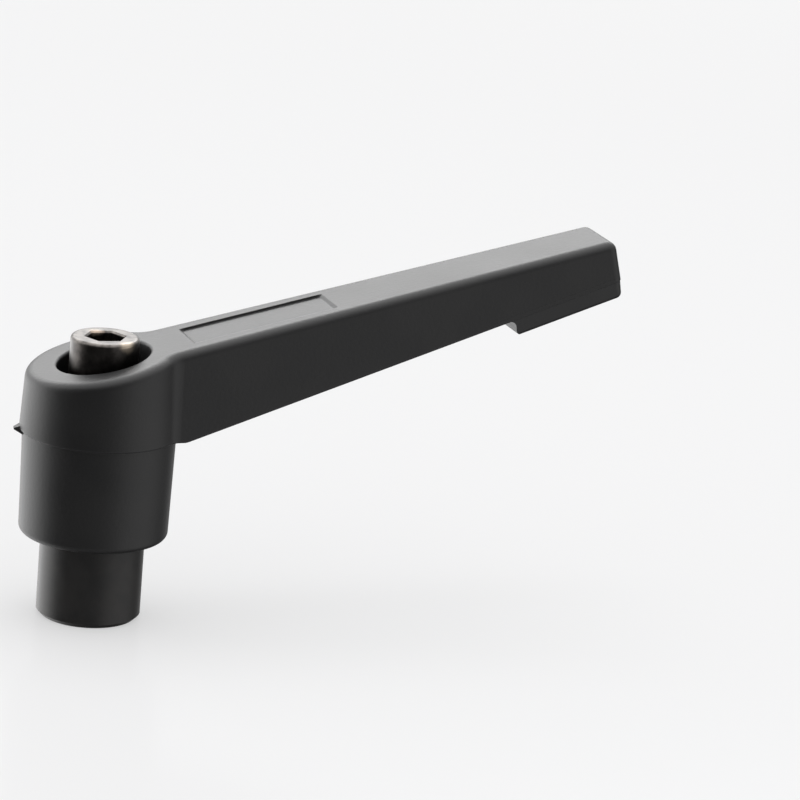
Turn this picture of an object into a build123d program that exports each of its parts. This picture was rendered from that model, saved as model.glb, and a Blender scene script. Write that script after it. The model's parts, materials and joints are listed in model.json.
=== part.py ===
from build123d import *
from math import cos, radians, sin, sqrt, tan
import os

# An adjustable clamping lever: a die-cast handle that turns a threaded insert through a toothed
# coupling, and lifts off its teeth against a spring to be set to a new angle. Millimetres, +Z up
# along the insert's axis, origin in the middle of the insert's bottom face, arm toward +X.

# Handle: the arm and the hub above its parting line
arm_length = 78.0
arm_root_half_width = 7.6
arm_tip_half_width = 6.9
pull_draft = 3.0
top_height_at_axis = 38.9
top_slope = 12.8
underside_lead = 0.8
underside_slope = 18.6
tip_lean = 13.3
hub_radius = 11.6
hub_arm_blend = 2.5
tip_corner_radius = 1.3
top_edge_radius = 1.4

# Handle: the hub below the parting line
parting_height = 27.8
parting_step = 0.45
parting_lip_radius = 0.25
hub_bottom_height = 12.35
hub_bottom_radius = 10.85
hub_bottom_edge_radius = 1.0

# Handle: gate stub left across the parting line, behind the hub
stub_angle = 168.0
stub_width = 2.6
stub_height = 1.9
stub_reach = 0.8
stub_taper = 25.0
stub_root_overlap = 1.0

# Handle: grip pad under the tip, and the shallow pocket on top
pad_start_x = 61.2
pad_depth = 2.75
pad_front_lean = 11.0
pad_draft = 8.0
pad_root_radius = 1.0
pad_corner_radius = 0.9
pad_root_overlap = 0.6
pad_lead = 3.0
pocket_start_x = 12.2
pocket_end_x = 34.0
pocket_half_width = 3.6
pocket_depth = 0.32
pocket_side_draft = 5.0
pocket_end_draft = 58.0
pocket_corner_radius = 0.3

# Threaded insert
insert_height = 23.4
collar_radius = 7.6
collar_chamfer = 0.65
mount_thread_radius = 5.0
mount_thread_depth = 14.0
drill_point_angle = 118.0
mount_mouth_chamfer = 0.4
crown_chamfer = 0.35

# Toothed coupling between the insert's crown and the hub
tooth_count = 24
tooth_length = 4.4
crown_step = 0.2
tooth_depth = 0.9
groove_root_width = 0.26
groove_flank_angle = 32.0
flank_clearance = 0.08
tooth_tip_clearance = 0.15
tooth_wall_overlap = 0.4
coupling_end_gap = 0.15

# Hub interior
guide_clearance = 0.06
guide_mouth_chamfer = 0.5
web_thickness = 3.0
web_seat_gap = 0.03
counterbore_radius = 6.7
counterbore_edge_radius = 0.4

# Retaining screw, socket head cap form
screw_radius = 3.0
screw_length = 20.0
screw_fit_clearance = 0.05
screw_tip_chamfer = 0.5
screw_hole_clearance = 0.3
head_radius = 5.0
head_height = 6.0
head_rim_radius = 0.6
head_top_height = 42.0
socket_across_flats = 5.0
socket_depth = 3.0
socket_drill_depth = 0.7
socket_mouth_chamfer = 0.25
socket_turn = -5.0

# Return spring
spring_wire_radius = 0.45
spring_outer_radius = 4.85
spring_turns = 4.5
spring_end_gap = 0.02

# Heights and radii that follow from the sizes above
web_bottom = insert_height + web_seat_gap
web_top = web_bottom + web_thickness
crown_bottom = insert_height - tooth_length - coupling_end_gap
head_bottom = head_top_height - head_height
guide_radius = collar_radius + guide_clearance
crown_tip_radius = collar_radius - crown_step
crown_root_radius = crown_tip_radius - tooth_depth

# The underside starts to climb a short way past the blend between hub and arm.
blend_end_x = sqrt((hub_radius + hub_arm_blend) ** 2 - (arm_root_half_width + hub_arm_blend) ** 2)
underside_start_x = blend_end_x + underside_lead


def underside_z(x):
    """Height of the arm's flat underside at a distance from the axis."""
    return parting_height + (x - underside_start_x) * tan(radians(underside_slope))


def top_z(x):
    """Height of the inclined top plane at a distance from the axis."""
    return top_height_at_axis + x * tan(radians(top_slope))


def arm_half_width(x, z):
    """Half-width of the drafted arm at a place on its side face."""
    at_parting = arm_root_half_width + (arm_tip_half_width - arm_root_half_width) * x / arm_length
    return at_parting - (z - parting_height) * tan(radians(pull_draft))


def coupling_outline(inner_radius, outer_radius, clearance):
    """Corners of one coupling groove along +X, or of the tooth that fills it with a clearance."""
    flank = radians(groove_flank_angle)
    narrowing = clearance / cos(flank)
    inner_half = groove_root_width / 2 + (inner_radius - crown_root_radius) * tan(flank) - narrowing
    outer_half = groove_root_width / 2 + (outer_radius - crown_root_radius) * tan(flank) - narrowing
    return [
        (inner_radius, -inner_half),
        (outer_radius, -outer_half),
        (outer_radius, outer_half),
        (inner_radius, inner_half),
    ]


def is_upright(face, plane):
    """Whether a face stands square to a plane."""
    return abs(face.normal_at().dot(plane.z_dir)) < 0.01


def largest_face_toward(piece, plane):
    """The largest flat face of a piece that faces the same way as a plane."""
    flats = piece.faces().filter_by(GeomType.PLANE)
    facing = flats.filter_by(lambda face: face.normal_at().dot(plane.z_dir) > 0.999)
    return facing.sort_by(SortBy.AREA)[-1]


# The end face leans out as it goes down, and meets the underside at the arm's full length.
tip_foot = (arm_length, underside_z(arm_length))
tip_rise = (top_z(arm_length) - tip_foot[1]) / (1 + tan(radians(top_slope)) * tan(radians(tip_lean)))
tip_top = (arm_length - tip_rise * tan(radians(tip_lean)), tip_foot[1] + tip_rise)
behind_hub = -hub_radius - 1
beyond_tip = arm_length + 3
above_all = top_z(arm_length) + 1
slope = radians(underside_slope)
rise = radians(top_slope)
underside_plane = Plane(
    origin=(underside_start_x, 0, parting_height),
    x_dir=(cos(slope), 0, sin(slope)),
    z_dir=(sin(slope), 0, -cos(slope)),
)
top_plane = Plane(
    origin=(0, 0, top_height_at_axis),
    x_dir=(cos(rise), 0, sin(rise)),
    z_dir=(-sin(rise), 0, cos(rise)),
)
stub_turn = radians(stub_angle)
stub_root = hub_radius - stub_root_overlap
stub_plane = Plane(
    origin=(stub_root * cos(stub_turn), stub_root * sin(stub_turn), parting_height),
    x_dir=(-sin(stub_turn), cos(stub_turn), 0),
    z_dir=(cos(stub_turn), sin(stub_turn), 0),
)

# ---------------------------------------------------------------- grip pad under the tip
# Its sides and end lean inward below the arm's parting edge; it becomes part of the casting.
pad_lead_x = pad_start_x - pad_lead
pad_run = arm_length - pad_start_x + pad_lead
front_lean = radians(pad_front_lean)
front_drop = pad_depth / cos(slope - front_lean)
pad_front_foot = (
    pad_start_x + front_drop * sin(front_lean),
    underside_z(pad_start_x) - front_drop * cos(front_lean),
)
pad_root_plane = underside_plane.offset(-pad_root_overlap)


def pad_plan_point(x, side):
    """A corner of the pad's plan, in the root plane's own axes."""
    return ((x - underside_start_x) / cos(slope), side * arm_half_width(x, underside_z(x)))


with BuildPart() as grip_pad:
    with BuildSketch(pad_root_plane) as pad_plan:
        with BuildLine():
            Polyline(
                pad_plan_point(pad_lead_x - pad_lead, 1),
                pad_plan_point(arm_length, 1),
                pad_plan_point(arm_length, -1),
                pad_plan_point(pad_lead_x - pad_lead, -1),
                close=True,
            )
        make_face()
        fillet(pad_plan.vertices().sort_by(Axis.X)[-2:], radius=tip_corner_radius)
    extrude(amount=pad_root_overlap + pad_depth)
    pad_sides = grip_pad.faces().filter_by(lambda face: is_upright(face, pad_root_plane))
    draft(pad_sides, pad_root_plane, pad_draft)

    # Stepped front with a rounded root
    with BuildSketch(Plane.XZ):
        with BuildLine():
            FilletPolyline(
                (pad_lead_x, underside_z(pad_start_x)),
                (pad_lead_x, underside_z(pad_lead_x)),
                (pad_start_x, underside_z(pad_start_x)),
                pad_front_foot,
                (pad_front_foot[0] + pad_run, pad_front_foot[1] + pad_run * tan(slope)),
                (pad_front_foot[0] + pad_run, above_all),
                radius=(0, 0, pad_root_radius, 0, 0, 0),
                close=True,
            )
        make_face()
    extrude(amount=hub_radius, both=True, mode=Mode.INTERSECT)
    fillet(largest_face_toward(grip_pad, underside_plane).edges(), radius=pad_corner_radius)

# ---------------------------------------------------------------- shallow pocket on top of the arm
# It is cut out of the handle. Its ends slope, so that they clear the die as it opens upward.
with BuildPart() as pocket:
    with BuildSketch(top_plane):
        with Locations(((pocket_start_x + pocket_end_x) / 2 / cos(rise), 0)):
            Rectangle((pocket_end_x - pocket_start_x) / cos(rise), 2 * pocket_half_width)
    extrude(amount=-pocket_depth)
    pocket_walls = pocket.faces().filter_by(lambda face: is_upright(face, top_plane))
    pocket_sides = pocket_walls.filter_by(Axis.Y)
    pocket_ends = pocket_walls.filter_by(Axis.Y, reverse=True)
    draft(pocket_sides, -top_plane, pocket_side_draft)
    draft(pocket_ends, -top_plane, pocket_end_draft)
    corners = pocket.edges().filter_by(lambda edge: abs(edge.tangent_at(0.5).Z) > 0.3)
    fillet(corners, radius=pocket_corner_radius)

# ---------------------------------------------------------------- lever handle
with BuildPart() as lever:
    # Plan outline at the parting line, raised and given the die's draft
    with BuildSketch(Plane.XY.offset(parting_height)) as plan:
        Circle(hub_radius)
        with BuildLine():
            Polyline(
                (0, -arm_root_half_width),
                (beyond_tip, -arm_half_width(beyond_tip, parting_height)),
                (beyond_tip, arm_half_width(beyond_tip, parting_height)),
                (0, arm_root_half_width),
                close=True,
            )
        make_face()
        inner_corners = plan.vertices().sort_by(Axis.X)[:-2]
        fillet(inner_corners, radius=hub_arm_blend)
    extrude(amount=above_all - parting_height)
    side_faces = lever.faces().filter_by(lambda face: is_upright(face, Plane.XY))
    draft(side_faces, Plane.XY.offset(parting_height), pull_draft)

    # Side outline: flat underside, leaning end face and inclined top
    with BuildSketch(Plane.XZ):
        with BuildLine():
            Polyline(
                (behind_hub, parting_height),
                (underside_start_x, parting_height),
                tip_foot,
                tip_top,
                (behind_hub, top_z(behind_hub)),
                close=True,
            )
        make_face()
    extrude(amount=2 * hub_radius, both=True, mode=Mode.INTERSECT)

    # Rounded tip corners, then one soft edge round the whole top
    end_face = lever.faces().sort_by(Axis.X)[-1]
    upright_edges = end_face.edges().filter_by(lambda edge: abs(edge.tangent_at(0.5).Z) > 0.8)
    fillet(upright_edges, radius=tip_corner_radius)
    fillet(largest_face_toward(lever, top_plane).edges(), radius=top_edge_radius)

    # Soft lip along the parting line, where the upper hub oversails the lower one
    parting_face = lever.faces().sort_by(Axis.Z)[0]
    fillet(parting_face.edges().sort_by(Axis.X)[:-1], radius=parting_lip_radius)

    # Lower hub, narrower than the upper one by the parting step
    with BuildSketch(Plane.XZ):
        with BuildLine():
            Polyline(
                (0, hub_bottom_height),
                (hub_bottom_radius, hub_bottom_height),
                (hub_radius - parting_step, parting_height),
                (0, parting_height),
                close=True,
            )
        make_face()
    revolve(axis=Axis.Z)
    fillet(lever.faces().sort_by(Axis.Z)[0].edges(), radius=hub_bottom_edge_radius)

    # Gate stub
    with BuildSketch(stub_plane):
        Rectangle(stub_width, stub_height)
    extrude(amount=stub_root_overlap + stub_reach, taper=stub_taper)

    # Grip pad
    add(grip_pad.part)

    # Stepped hole: guide bore for the insert, web with the screw's hole, spring counterbore
    with BuildSketch(Plane.XZ):
        with BuildLine():
            Polyline(
                (0, hub_bottom_height),
                (guide_radius + guide_mouth_chamfer, hub_bottom_height),
                (guide_radius, hub_bottom_height + guide_mouth_chamfer),
                (guide_radius, web_bottom),
                (screw_radius + screw_hole_clearance, web_bottom),
                (screw_radius + screw_hole_clearance, web_top),
                (counterbore_radius, web_top),
                (counterbore_radius, above_all),
                (0, above_all),
                close=True,
            )
        make_face()
    revolve(axis=Axis.Z, mode=Mode.SUBTRACT)
    top_face = largest_face_toward(lever, top_plane)
    fillet(top_face.inner_wires()[0].edges(), radius=counterbore_edge_radius)

    # Shallow pocket on top of the arm
    add(pocket.part, mode=Mode.SUBTRACT)

    # Inner teeth under the web
    with BuildSketch(Plane.XY.offset(web_bottom - tooth_length)):
        with PolarLocations(0, tooth_count):
            Polygon(
                *coupling_outline(
                    crown_root_radius + tooth_tip_clearance,
                    guide_radius + tooth_wall_overlap,
                    flank_clearance,
                ),
                align=None,
            )
    extrude(amount=tooth_length)
lever.part.label = "lever"

# ---------------------------------------------------------------- threaded insert
bore_step = mount_thread_radius - screw_radius - screw_fit_clearance
drill_cone = bore_step / tan(radians(drill_point_angle / 2))
with BuildPart() as threaded_insert:
    with BuildSketch(Plane.XZ):
        with BuildLine():
            Polyline(
                (mount_thread_radius + mount_mouth_chamfer, 0),
                (collar_radius - collar_chamfer, 0),
                (collar_radius, collar_chamfer),
                (collar_radius, crown_bottom),
                (crown_tip_radius, crown_bottom),
                (crown_tip_radius, insert_height - crown_chamfer),
                (crown_tip_radius - crown_chamfer, insert_height),
                (screw_radius + screw_fit_clearance, insert_height),
                (screw_radius + screw_fit_clearance, mount_thread_depth + drill_cone),
                (mount_thread_radius, mount_thread_depth),
                (mount_thread_radius, mount_mouth_chamfer),
                close=True,
            )
        make_face()
    revolve(axis=Axis.Z)

    # Toothed crown, cut groove by groove
    with BuildSketch(Plane.XY.offset(crown_bottom)):
        with PolarLocations(0, tooth_count):
            Polygon(
                *coupling_outline(crown_root_radius, crown_tip_radius + tooth_wall_overlap, 0),
                align=None,
            )
    extrude(amount=insert_height - crown_bottom, mode=Mode.SUBTRACT)
threaded_insert.part.label = "threaded_insert"

# ---------------------------------------------------------------- retaining screw
with BuildPart() as retaining_screw:
    with BuildSketch(Plane.XZ):
        with BuildLine():
            Polyline(
                (0, head_bottom - screw_length),
                (screw_radius - screw_tip_chamfer, head_bottom - screw_length),
                (screw_radius, head_bottom - screw_length + screw_tip_chamfer),
                (screw_radius, head_bottom),
                (head_radius, head_bottom),
                (head_radius, head_top_height),
                (0, head_top_height),
                close=True,
            )
        make_face()
    revolve(axis=Axis.Z)
    fillet(retaining_screw.faces().sort_by(Axis.Z)[-1].edges(), radius=head_rim_radius)

    # Hexagon socket with a drilled bottom and a small lead-in
    with BuildSketch(Plane.XY.offset(head_top_height)):
        RegularPolygon(socket_across_flats / 2, 6, major_radius=False, rotation=socket_turn)
    extrude(amount=-socket_depth, mode=Mode.SUBTRACT)
    chamfer(
        retaining_screw.faces().sort_by(Axis.Z)[-1].inner_wires()[0].edges(),
        length=socket_mouth_chamfer,
    )
    with Locations((0, 0, head_top_height - socket_depth - socket_drill_depth / 2)):
        Cone(0.2, socket_across_flats / 2 - 0.2, socket_drill_depth, mode=Mode.SUBTRACT)
retaining_screw.part.label = "retaining_screw"

# ---------------------------------------------------------------- return spring
spring_bottom = web_top + spring_end_gap
spring_top = head_bottom - spring_end_gap
coil_radius = spring_outer_radius - spring_wire_radius
coil_pitch = (spring_top - spring_bottom) / spring_turns
with BuildPart() as return_spring:
    with BuildLine() as coil:
        Helix(coil_pitch, spring_top - spring_bottom, coil_radius, center=(0, 0, spring_bottom))
    with BuildSketch(Plane(origin=coil.line @ 0, z_dir=coil.line % 0)):
        Circle(spring_wire_radius)
    sweep(path=coil.line, is_frenet=True)

    # Ends ground flat, on the web and under the screw's head
    split(bisect_by=Plane.XY.offset(spring_bottom), keep=Keep.TOP)
    split(bisect_by=Plane.XY.offset(spring_top), keep=Keep.BOTTOM)
return_spring.part.label = "return_spring"

os.makedirs("parts", exist_ok=True)
for piece in (lever, threaded_insert, retaining_screw, return_spring):
    export_step(piece.part, f"parts/{piece.part.label}.step")
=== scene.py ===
import json
import math

import bpy
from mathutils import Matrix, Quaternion, Vector


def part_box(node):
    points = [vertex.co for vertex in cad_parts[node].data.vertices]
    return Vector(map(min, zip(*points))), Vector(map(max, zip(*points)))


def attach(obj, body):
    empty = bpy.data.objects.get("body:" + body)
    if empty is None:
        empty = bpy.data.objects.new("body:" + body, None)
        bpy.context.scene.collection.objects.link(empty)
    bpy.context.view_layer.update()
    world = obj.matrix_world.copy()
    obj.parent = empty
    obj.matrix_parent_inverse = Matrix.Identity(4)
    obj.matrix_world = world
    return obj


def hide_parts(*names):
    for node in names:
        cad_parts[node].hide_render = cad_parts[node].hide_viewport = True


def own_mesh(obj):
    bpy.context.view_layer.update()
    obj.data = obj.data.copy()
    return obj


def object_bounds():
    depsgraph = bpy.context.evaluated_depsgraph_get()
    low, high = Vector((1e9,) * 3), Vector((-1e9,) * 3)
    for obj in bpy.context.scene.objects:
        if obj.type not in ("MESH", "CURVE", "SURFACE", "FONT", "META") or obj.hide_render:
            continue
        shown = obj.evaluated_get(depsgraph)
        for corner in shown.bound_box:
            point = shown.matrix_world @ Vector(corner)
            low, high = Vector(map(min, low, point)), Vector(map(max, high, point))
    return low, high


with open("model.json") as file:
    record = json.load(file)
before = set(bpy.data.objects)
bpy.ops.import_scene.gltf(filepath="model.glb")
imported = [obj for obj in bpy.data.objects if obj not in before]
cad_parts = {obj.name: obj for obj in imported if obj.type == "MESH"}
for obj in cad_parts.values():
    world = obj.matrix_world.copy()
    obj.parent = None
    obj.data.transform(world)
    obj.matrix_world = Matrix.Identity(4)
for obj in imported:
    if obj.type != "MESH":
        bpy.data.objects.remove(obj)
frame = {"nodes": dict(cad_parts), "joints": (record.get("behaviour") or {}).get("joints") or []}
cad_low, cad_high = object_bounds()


# --- Threaded insert ---------------------------------------------------------------------------
# The steel turning that the lever sits on: a collar below the hub, an M10 thread tapped into it
# from underneath and a toothed crown inside the hub. It is turned on a lathe, tapped, and then
# dipped hot to give the black oxide, which leaves the fine turning marks to be seen.

# Blender counts in metres, so a size in millimetres is written as so many MM.
MM = 0.001


class Wire:
    """A socket in a finish's node tree. Sums written with it become Math nodes."""

    def __init__(self, finish, socket):
        self.finish = finish
        self.socket = socket

    def maths(self, operation, first, second):
        return self.finish.add("ShaderNodeMath", {"operation": operation}, {0: first, 1: second})

    def __add__(self, other):
        return self.maths("ADD", self, other)

    def __radd__(self, other):
        return self.maths("ADD", other, self)

    def __sub__(self, other):
        return self.maths("SUBTRACT", self, other)

    def __rsub__(self, other):
        return self.maths("SUBTRACT", other, self)

    def __mul__(self, other):
        return self.maths("MULTIPLY", self, other)

    def __rmul__(self, other):
        return self.maths("MULTIPLY", other, self)

    def __pow__(self, other):
        return self.maths("POWER", self, other)


class Finish:
    """Nodes wired up for one material, or for the light of the room."""

    def __init__(self, owner):
        owner.use_nodes = True
        self.owner = owner
        self.tree = owner.node_tree
        self.tree.nodes.clear()

    def add(self, kind, settings=None, sockets=None, output=0):
        """Adds a node of this kind, sets it up, links it and gives one of its outputs."""
        node = self.tree.nodes.new(kind)
        for name, value in (settings or {}).items():
            setattr(node, name, value)
        for name, value in (sockets or {}).items():
            if isinstance(value, Wire):
                self.tree.links.new(value.socket, node.inputs[name])
            else:
                node.inputs[name].default_value = value
        return Wire(self, node.outputs[output] if node.outputs else None)

    def place(self):
        """The place on the piece, in metres from the foot of the lever's axis."""
        return self.add("ShaderNodeTexCoord", output="Object")

    def noise(self, where, size, detail=2.0, roughness=0.5):
        """Noise whose blots are about size metres across."""
        return self.add("ShaderNodeTexNoise", None,
                        {"Vector": where, "Scale": 1 / size, "Detail": detail,
                         "Roughness": roughness})

    def between(self, value, low, high):
        """0 where value is under low, 1 where it is over high, and smooth between them."""
        return self.add("ShaderNodeMapRange", {"interpolation_type": "SMOOTHSTEP"},
                        {"Value": value, "From Min": low, "From Max": high})

    def mixed(self, share, first, second):
        """A colour that goes from first to second as share goes from 0 to 1."""
        return self.add("ShaderNodeMix", {"data_type": "RGBA"}, {0: share, 6: first, 7: second}, 2)

    def bumped(self, height, depth, under=None):
        """The surface's normal with height laid on it, which is depth metres from 0 to 1."""
        sockets = {"Height": height, "Distance": depth, "Strength": 1.0}
        if under is not None:
            sockets["Normal"] = under
        return self.add("ShaderNodeBump", None, sockets)

    def rounded(self, radius):
        """The surface's normal with every sharp edge eased over to this radius."""
        return self.add("ShaderNodeBevel", {"samples": 6}, {"Radius": radius})

    def edges(self, radius):
        """1 along the sharp edges, to radius from them, and 0 on the flats."""
        slightly_turned, well_turned = 0.01, 0.16
        flat = self.add("ShaderNodeNewGeometry", output="Normal")
        match = self.add("ShaderNodeVectorMath", {"operation": "DOT_PRODUCT"},
                         {0: self.rounded(radius), 1: flat}, "Value")
        return self.between(1 - match, slightly_turned, well_turned)

    def surface(self, **sockets):
        """Ends the tree in one Principled shader with these sockets."""
        named = {name.replace("_", " "): value for name, value in sockets.items()}
        shader = self.add("ShaderNodeBsdfPrincipled", None, named)
        self.add("ShaderNodeOutputMaterial", None, {"Surface": shader})


def from_axis(where):
    """How far a place is from the lever's axis, and how high up."""
    x, y, z = (where.finish.add("ShaderNodeSeparateXYZ", None, {0: where}, part)
               for part in range(3))
    return (x * x + y * y) ** 0.5, z


def ring_marks(where, width, roughness):
    """Level rings that a tool leaves round the axis: they vary with height and radius only."""
    axis_distance, height = from_axis(where)
    tool_path = where.finish.add("ShaderNodeCombineXYZ", None,
                                 {0: axis_distance, 1: 0.0, 2: height})
    return where.finish.noise(tool_path, width, detail=3.0, roughness=roughness)


turning_width = 0.16 * MM
turning_depth = 0.006 * MM
blotch_size = 3.2 * MM
salt_size = 0.5 * MM
rubbed_width = 0.35 * MM
broken_edge = 0.12 * MM
jet_black = (0.0148, 0.0144, 0.0144, 1)
brown_black = (0.0215, 0.0203, 0.0196, 1)
rubbed_grey = (0.105, 0.098, 0.09, 1)

oxide = Finish(bpy.data.materials.new("black_oxide_turned_steel"))
place = oxide.place()
turning = ring_marks(place, turning_width, roughness=0.65)
blotches = oxide.noise(place, blotch_size, detail=4.0)
salts = oxide.noise(place, salt_size, detail=2.0)
rubbed = oxide.edges(rubbed_width) * oxide.between(blotches, 0.35, 0.65)
oxide_black = oxide.mixed(oxide.between(blotches, 0.3, 0.7), jet_black, brown_black)
oxide.surface(
    Base_Color=oxide.mixed(rubbed * 0.55, oxide_black, rubbed_grey),
    Metallic=0.35,
    Roughness=0.36 + 0.10 * blotches + 0.06 * salts - 0.06 * rubbed,
    Normal=oxide.bumped(turning, turning_depth, oxide.rounded(broken_edge)))
insert = frame["nodes"]["threaded_insert"]
insert.material_slots[0].material = oxide.owner


# --- Mounting thread ---------------------------------------------------------------------------
# The M10 thread that the tap leaves in the insert's bore, where a stud is screwed in. It is part
# of the insert: one ridge that winds up the bore and is cut square at the mouth and at its end.

thread_pitch = 1.5 * MM
bore_radius = 5.0 * MM
crest_radius = 4.19 * MM
ridge_root_width = 1.30 * MM
ridge_crest_width = 0.375 * MM
thread_start = 0.42 * MM
thread_end = 13.0 * MM
steps_in_turn = 56
weld_gap = 0.002 * MM


def only(piece):
    """Makes this piece the one that is selected and worked on."""
    bpy.ops.object.select_all(action="DESELECT")
    piece.select_set(True)
    bpy.context.view_layer.objects.active = piece


def select_where(piece, test):
    """Selects the corners of a piece for which test is true of their place."""
    bpy.ops.mesh.select_all(action="DESELECT")
    bpy.ops.object.mode_set(mode="OBJECT")
    for corner in piece.data.vertices:
        corner.select = test(corner.co)
    bpy.ops.object.mode_set(mode="EDIT")


def wind(piece, turns, rise):
    """Winds a piece's outline round the Z axis, to rise this far in this many turns."""
    helix = piece.modifiers.new("helix", "SCREW")
    helix.angle = math.radians(360) * turns
    helix.screw_offset = rise
    helix.steps = helix.render_steps = round(steps_in_turn * turns)
    helix.use_smooth_shade = True
    only(piece)
    bpy.ops.object.modifier_apply(modifier=helix.name)


def cut_flat(piece, height, drop_above):
    """Cuts a piece level at a height, drops one side and closes the cut."""
    only(piece)
    bpy.ops.object.mode_set(mode="EDIT")
    bpy.ops.mesh.select_all(action="SELECT")
    bpy.ops.mesh.bisect(plane_co=(0, 0, height), plane_no=(0, 0, 1), use_fill=True,
                        clear_inner=not drop_above, clear_outer=drop_above)
    bpy.ops.object.mode_set(mode="OBJECT")


def close_up(piece):
    """Merges the corners that meet and turns every face outward."""
    only(piece)
    bpy.ops.object.mode_set(mode="EDIT")
    bpy.ops.mesh.select_all(action="SELECT")
    bpy.ops.mesh.remove_doubles(threshold=weld_gap)
    bpy.ops.mesh.normals_make_consistent(inside=False)
    bpy.ops.object.mode_set(mode="OBJECT")


ridge_middle = (bore_radius + crest_radius) / 2
first_turn = thread_start - thread_pitch
bpy.ops.object.select_all(action="DESELECT")
bpy.ops.mesh.primitive_plane_add(size=1, rotation=(math.radians(90), 0, 0),
                                 location=(ridge_middle, 0, first_turn))
thread = bpy.context.object
thread.name = "mounting_thread"
thread.scale = (bore_radius - crest_radius, ridge_root_width, 1)
bpy.ops.object.transform_apply(location=True, rotation=True, scale=True)
bpy.ops.object.mode_set(mode="EDIT")
select_where(thread, lambda corner: corner.x < ridge_middle)
bpy.ops.transform.resize(value=(1, 1, ridge_crest_width / ridge_root_width),
                         center_override=(0, 0, first_turn))
bpy.ops.mesh.select_all(action="SELECT")
bpy.ops.mesh.delete(type="ONLY_FACE")
bpy.ops.object.mode_set(mode="OBJECT")
spare_turns = 2
thread_turns = math.ceil((thread_end - thread_start) / thread_pitch) + spare_turns
wind(thread, thread_turns, thread_turns * thread_pitch)
cut_flat(thread, thread_start, drop_above=False)
cut_flat(thread, thread_end, drop_above=True)
close_up(thread)
bpy.ops.object.shade_smooth_by_angle(angle=math.radians(35))
thread.data.materials.append(oxide.owner)
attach(thread, "insert")


# --- Lever -------------------------------------------------------------------------------------
# Hub and arm are one zinc die casting. It is tumbled, blasted and powder-coated satin black, so
# the coat has a fine orange peel, is drawn out over the outside edges and hides the metal. The
# lighter grey along those edges is partly that thinner coat and partly a painted edge highlight.

peel_size = 0.55 * MM
grain_size = 0.14 * MM
peel_depth = 0.020 * MM
drift_size = 9.0 * MM
thin_and_highlit_width = 0.7 * MM
eased_edge = 0.22 * MM
cool_black = (0.0062, 0.0062, 0.0066, 1)
warm_black = (0.0086, 0.0084, 0.0086, 1)
thin_and_highlit_grey = (0.020, 0.020, 0.021, 1)

coat = Finish(bpy.data.materials.new("satin_black_powder_coat"))
place = coat.place()
peel = coat.noise(place, peel_size, detail=1.5, roughness=0.45)
grain = coat.noise(place, grain_size, detail=2.0, roughness=0.6)
drift = coat.noise(place, drift_size, detail=3.0)
# The lighter grey along the edges is partly thinner coat and partly painted highlight.
thin_and_highlit = coat.edges(thin_and_highlit_width)
coat_black = coat.mixed(coat.between(drift, 0.35, 0.65), cool_black, warm_black)
coat.surface(
    Base_Color=coat.mixed(thin_and_highlit * 0.5, coat_black, thin_and_highlit_grey),
    Roughness=0.42 + 0.05 * drift + 0.05 * grain - 0.05 * thin_and_highlit,
    Normal=coat.bumped(peel * 0.75 + grain * 0.25, peel_depth, coat.rounded(eased_edge)))
lever = frame["nodes"]["lever"]
lever.material_slots[0].material = coat.owner


# --- Return spring -----------------------------------------------------------------------------
# The compression spring between the hub's web and the screw's head. It is wound cold from drawn
# spring wire, and its end turns lie close and are ground flat. The real one shortens as the lever
# is lifted; here it is built at one length only.

wire_radius = 0.45 * MM
wire_sides = 20
coil_radius = 4.4 * MM
close_pitch = 2.04 * wire_radius
open_turns = 3
ground_off = 0.6 * wire_radius
lift_travel = next(joint["range_m"][1] for joint in frame["joints"] if joint["name"] == "lift")

spring_low, spring_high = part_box("return_spring")
wire_bottom = spring_low.z + ground_off / 2
wire_top = spring_high.z - ground_off / 2
open_rise = wire_top - wire_bottom - 2 * close_pitch


def coil(name, bottom, turns, rise):
    """A run of spring wire that starts at +X at this height."""
    bpy.ops.object.select_all(action="DESELECT")
    bpy.ops.mesh.primitive_circle_add(
        vertices=wire_sides, radius=wire_radius, rotation=(math.radians(90), 0, 0),
        location=(coil_radius, 0, bottom))
    run = bpy.context.object
    run.name = name
    bpy.ops.object.transform_apply(location=True, rotation=True)
    wind(run, turns, rise)
    return run


spring = coil("wound_return_spring", wire_bottom, 1, close_pitch)
open_run = coil("open_turns", wire_bottom + close_pitch, open_turns, open_rise)
top_run = coil("top_turn", wire_top - close_pitch, 1, close_pitch)
only(spring)
open_run.select_set(True)
top_run.select_set(True)
bpy.ops.object.join()
close_up(spring)
cut_flat(spring, spring_low.z, drop_above=False)
cut_flat(spring, spring_high.z, drop_above=True)
close_up(spring)
bpy.ops.object.shade_smooth_by_angle(angle=math.radians(40))

streak_size = 0.35 * MM
streak_depth = 0.004 * MM
oil_size = 2.2 * MM
dull_wire = (0.20, 0.195, 0.19, 1)
bright_wire = (0.31, 0.30, 0.285, 1)

drawn = Finish(bpy.data.materials.new("drawn_spring_wire"))
place = drawn.place()
streaks = drawn.noise(place, streak_size, detail=4.0, roughness=0.6)
oil = drawn.noise(place, oil_size, detail=3.0)
drawn.surface(
    Base_Color=drawn.mixed(drawn.between(oil, 0.3, 0.7), dull_wire, bright_wire),
    Metallic=1.0,
    Roughness=0.30 + 0.12 * oil + 0.08 * streaks,
    Normal=drawn.bumped(streaks, streak_depth))
spring.data.materials.append(drawn.owner)
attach(spring, "spring")
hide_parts("return_spring")
1 - lift_travel / (spring_high.z - spring_low.z)
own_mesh(spring)


# --- Retaining screw ---------------------------------------------------------------------------
# An M6 socket head cap screw that holds lever, spring and insert together. It is cold-headed from
# steel and keeps a dark film of oil, which handling wears down on top. Dark scale lines the
# socket, and its colour there also paints shade into the hollow. Two light straw patches, at the
# socket's edge and at one place on the rim, are painted highlights.

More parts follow.
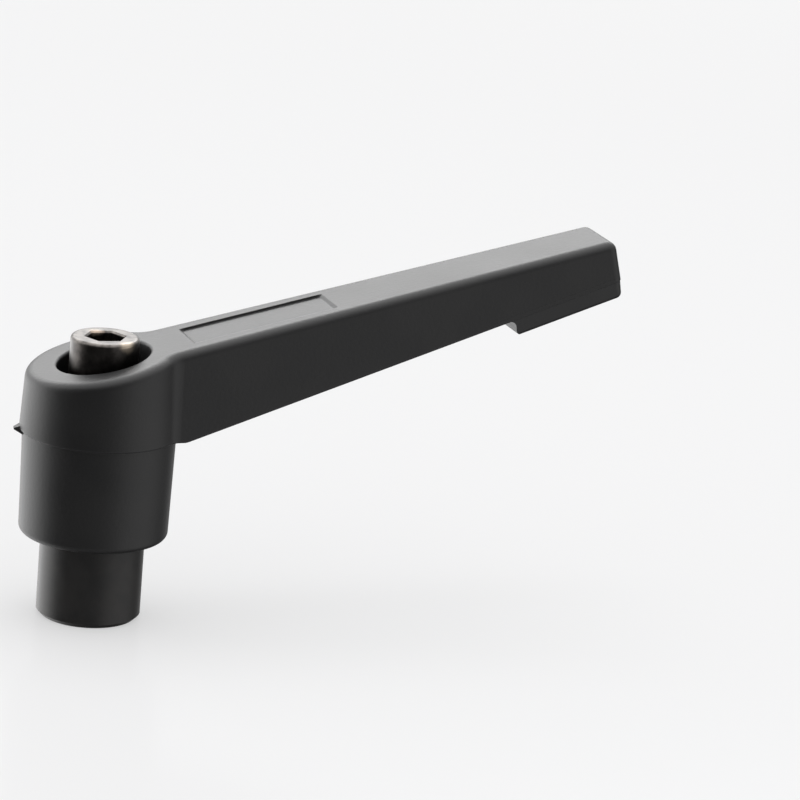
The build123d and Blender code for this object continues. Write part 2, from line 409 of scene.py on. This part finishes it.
handled_size = 1.4 * MM
die_mark_width = 0.12 * MM
die_mark_depth = 0.004 * MM
head_edge = 0.10 * MM
raggedness = 1.6 * MM
dark_film = (0.045, 0.041, 0.039, 1)
light_film = (0.082, 0.075, 0.070, 1)
thin_film = (0.21, 0.195, 0.18, 1)
black_scale_and_shade = (0.016, 0.014, 0.012, 1)
brown_scale_and_shade = (0.060, 0.052, 0.042, 1)
# Light straw colours for the painted highlights on the rim and at the socket's edge.
rim_highlight_straw = (0.53, 0.45, 0.355, 1)
socket_highlight_straw = (0.56, 0.44, 0.345, 1)

film_steel = Finish(bpy.data.materials.new("oiled_dark_steel"))
place = film_steel.place()
axis_distance, height = from_axis(place)
die_marks = ring_marks(place, die_mark_width, roughness=0.6)
handling = film_steel.noise(place, handled_size, detail=4.0, roughness=0.6)
head_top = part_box("retaining_screw")[1].z
near_socket = 1 - film_steel.between(axis_distance, 2.95 * MM, 3.15 * MM)
# Inside the socket the colour goes over to dark scale, which also paints shade into the hollow.
socket_scale_and_shade = film_steel.between(head_top - height, 0.25 * MM, 1.1 * MM) * near_socket
on_top = film_steel.between(height - head_top, -0.7 * MM, -0.1 * MM)
worn = on_top * film_steel.between(handling, 0.30, 0.62)


def painted_highlight_spot(azimuth, radius, depth, reach):
    """A painted highlight: 1 at a place on the head, by its angle, radius and depth, 0 beyond
    reach.
    """
    turn = math.radians(azimuth)
    flatness = 1.6
    spot = (radius * math.cos(turn), radius * math.sin(turn), (head_top - depth) * flatness)
    flattened = film_steel.add("ShaderNodeVectorMath", {"operation": "MULTIPLY"},
                               {0: place, 1: (1, 1, flatness)})
    distance = film_steel.add("ShaderNodeVectorMath", {"operation": "DISTANCE"},
                              {0: flattened, 1: spot}, "Value")
    return 1 - film_steel.between(distance + raggedness * handling,
                                  0.1 * reach + raggedness / 2, reach + raggedness / 2)


# The two spots below are painted highlights in light straw: one on the front of the rim, one at
# the socket's edge.
painted_rim_highlight = painted_highlight_spot(azimuth=-64, radius=4.8 * MM, depth=0.55 * MM, reach=1.9 * MM)
painted_socket_highlight = painted_highlight_spot(azimuth=104, radius=2.6 * MM, depth=0.05 * MM, reach=1.35 * MM)
film = film_steel.mixed(film_steel.between(handling, 0.3, 0.75), dark_film, light_film)
worn_film = film_steel.mixed(worn * 0.45, film, thin_film)
# The socket's colour: dark scale that also serves as painted shade.
scale = film_steel.mixed(film_steel.between(handling, 0.35, 0.7), black_scale_and_shade, brown_scale_and_shade)
head_colour = film_steel.mixed(socket_scale_and_shade, worn_film, scale)
rim_highlighted_colour = film_steel.mixed(painted_rim_highlight * 0.85, head_colour, rim_highlight_straw)
film_steel.surface(
    Base_Color=film_steel.mixed(painted_socket_highlight * 0.85, rim_highlighted_colour, socket_highlight_straw),
    Metallic=1 - 0.6 * painted_socket_highlight,
    Roughness=0.24 + 0.12 * handling + 0.05 * die_marks + 0.15 * socket_scale_and_shade,
    Normal=film_steel.bumped(die_marks, die_mark_depth, film_steel.rounded(head_edge)))
screw = frame["nodes"]["retaining_screw"]
screw.material_slots[0].material = film_steel.owner


# --- Floor -------------------------------------------------------------------------------------
# A round of white satin board that the lever stands on. Half of its white is a glow of its own,
# which keeps its shadows pale, and all of it further out, where it meets the backdrop. From below
# it is clear, so that the underside shows.

floor_radius = 1.6
floor_drop = 0.02 * MM
near_glow = 0.5
glow_start = 0.35
glow_end = 0.75
soft_white = (0.84, 0.84, 0.845, 1)
backdrop_white = (0.95, 0.95, 0.95, 1)

bpy.ops.object.select_all(action="DESELECT")
bpy.ops.mesh.primitive_circle_add(vertices=96, radius=floor_radius, fill_type="NGON",
                                  location=(0, 0, -floor_drop))
floor = bpy.context.object
floor.name = "floor"
bpy.ops.object.transform_apply(location=True)
board = Finish(bpy.data.materials.new("white_satin_board"))
centre_distance = from_axis(board.place())[0]
glowing = near_glow + (1 - near_glow) * board.between(centre_distance, glow_start, glow_end)
sheet = board.add("ShaderNodeBsdfPrincipled", None,
                  {"Base Color": soft_white, "Roughness": 0.18, "IOR": 1.06})
glow = board.add("ShaderNodeEmission", None, {"Color": backdrop_white})
clear = board.add("ShaderNodeBsdfTransparent")
above = board.add("ShaderNodeMixShader", None, {0: glowing, 1: sheet, 2: glow})
below = board.add("ShaderNodeNewGeometry", output="Backfacing")
either = board.add("ShaderNodeMixShader", None, {0: below, 1: above, 2: clear})
board.add("ShaderNodeOutputMaterial", None, {"Surface": either})
floor.data.materials.append(board.owner)
floor.visible_glossy = False


# --- Light -------------------------------------------------------------------------------------
# A soft box overhead, and a long one behind that only the gloss picks up. The pale room round
# them has panels that only the gloss picks up too, so that the black parts keep their shape
# between long soft reflections.

middle = (cad_low + cad_high) / 2


def toward(azimuth, elevation):
    """The direction this many degrees round from +X and this many up."""
    turn = math.radians(azimuth)
    rise = math.radians(elevation)
    return Vector((math.cos(turn) * math.cos(rise), math.sin(turn) * math.cos(rise),
                   math.sin(rise)))


def soft_box(name, azimuth, elevation, distance, width, height, watts):
    """A rectangular lamp that faces the lever from this direction and distance."""
    lamp = bpy.data.lights.new(name, "AREA")
    lamp.shape = "RECTANGLE"
    lamp.size = width
    lamp.size_y = height
    lamp.energy = watts
    box = bpy.data.objects.new(name, lamp)
    box.location = middle + toward(azimuth, elevation) * distance
    box.rotation_mode = "QUATERNION"
    box.rotation_quaternion = toward(azimuth, elevation).to_track_quat("Z", "Y")
    box.visible_camera = False
    bpy.context.scene.collection.objects.link(box)
    return box


soft_box("overhead_box", azimuth=70, elevation=78, distance=0.75,
         width=0.60, height=0.60, watts=1.4)
back_box = soft_box("back_box", azimuth=82, elevation=31, distance=0.95,
                    width=1.00, height=0.30, watts=4.6)
back_box.visible_diffuse = False

world = bpy.data.worlds.new("pale_room")
bpy.context.scene.world = world
room = Finish(world)
direction = room.add("ShaderNodeTexCoord", output="Generated")


def panel(azimuth, elevation, inner, outer):
    """1 within inner degrees of a panel's middle, and 0 more than outer degrees away."""
    facing = room.add("ShaderNodeVectorMath", {"operation": "DOT_PRODUCT"},
                      {0: direction, 1: toward(azimuth, elevation)}, "Value")
    return room.between(facing, math.cos(math.radians(outer)), math.cos(math.radians(inner)))


dim_corner = 0.07
gloss = (dim_corner
         + 2.70 * panel(azimuth=128, elevation=-22, inner=14, outer=46)
         + 1.60 * panel(azimuth=140, elevation=22, inner=10, outer=42)
         + 0.88 * panel(azimuth=-38, elevation=-10, inner=12, outer=52)
         + 1.60 * panel(azimuth=68, elevation=80, inner=36, outer=76)
         + 0.78 * panel(azimuth=72, elevation=10, inner=24, outer=58)
         + 0.27 * panel(azimuth=248, elevation=-50, inner=24, outer=42))
grey = room.add("ShaderNodeCombineColor", None, {0: gloss, 1: gloss, 2: gloss})
studio = room.add("ShaderNodeBackground", None, {"Color": grey})
walls = room.add("ShaderNodeBackground", None, {"Color": soft_white})
backdrop = room.add("ShaderNodeBackground", None, {"Color": backdrop_white})
mirrored = room.add("ShaderNodeLightPath", output="Is Glossy Ray")
seen = room.add("ShaderNodeLightPath", output="Is Camera Ray")
through = room.add("ShaderNodeLightPath", output="Is Transmission Ray")
seen_or_through = room.add("ShaderNodeMath", {"operation": "MAXIMUM"}, {0: seen, 1: through})
lighting = room.add("ShaderNodeMixShader", None, {0: mirrored, 1: walls, 2: studio})
chosen = room.add("ShaderNodeMixShader", None,
                  {0: seen_or_through, 1: lighting, 2: backdrop})
room.add("ShaderNodeOutputWorld", None, {"Surface": chosen})
bpy.context.scene.view_settings.view_transform = "Standard"


# --- Camera ------------------------------------------------------------------------------------
# A long lens two-thirds of a metre away, in front of the arm, towards the hub's end and a little
# above it. It is rolled slightly, so that the lever seems to lean over towards its arm.

azimuth, elevation, roll = 22.18, 16.05, 4.81
camera_distance = 0.6666
lens_length = 204.0
aim = Vector((44.9, -3.5, 32.2)) * MM

camera = bpy.data.objects.new("camera", bpy.data.cameras.new("camera"))
camera.data.lens = lens_length
camera.data.sensor_width = 36
turn, tilt = math.radians(azimuth), math.radians(elevation)
looking = Vector((math.sin(turn) * math.cos(tilt), math.cos(turn) * math.cos(tilt),
                  -math.sin(tilt)))
camera.location = aim - looking * camera_distance
camera.rotation_mode = "QUATERNION"
level = looking.to_track_quat("-Z", "Y")
camera.rotation_quaternion = Quaternion(looking, math.radians(-roll)) @ level
bpy.context.scene.collection.objects.link(camera)
bpy.context.scene.camera = camera
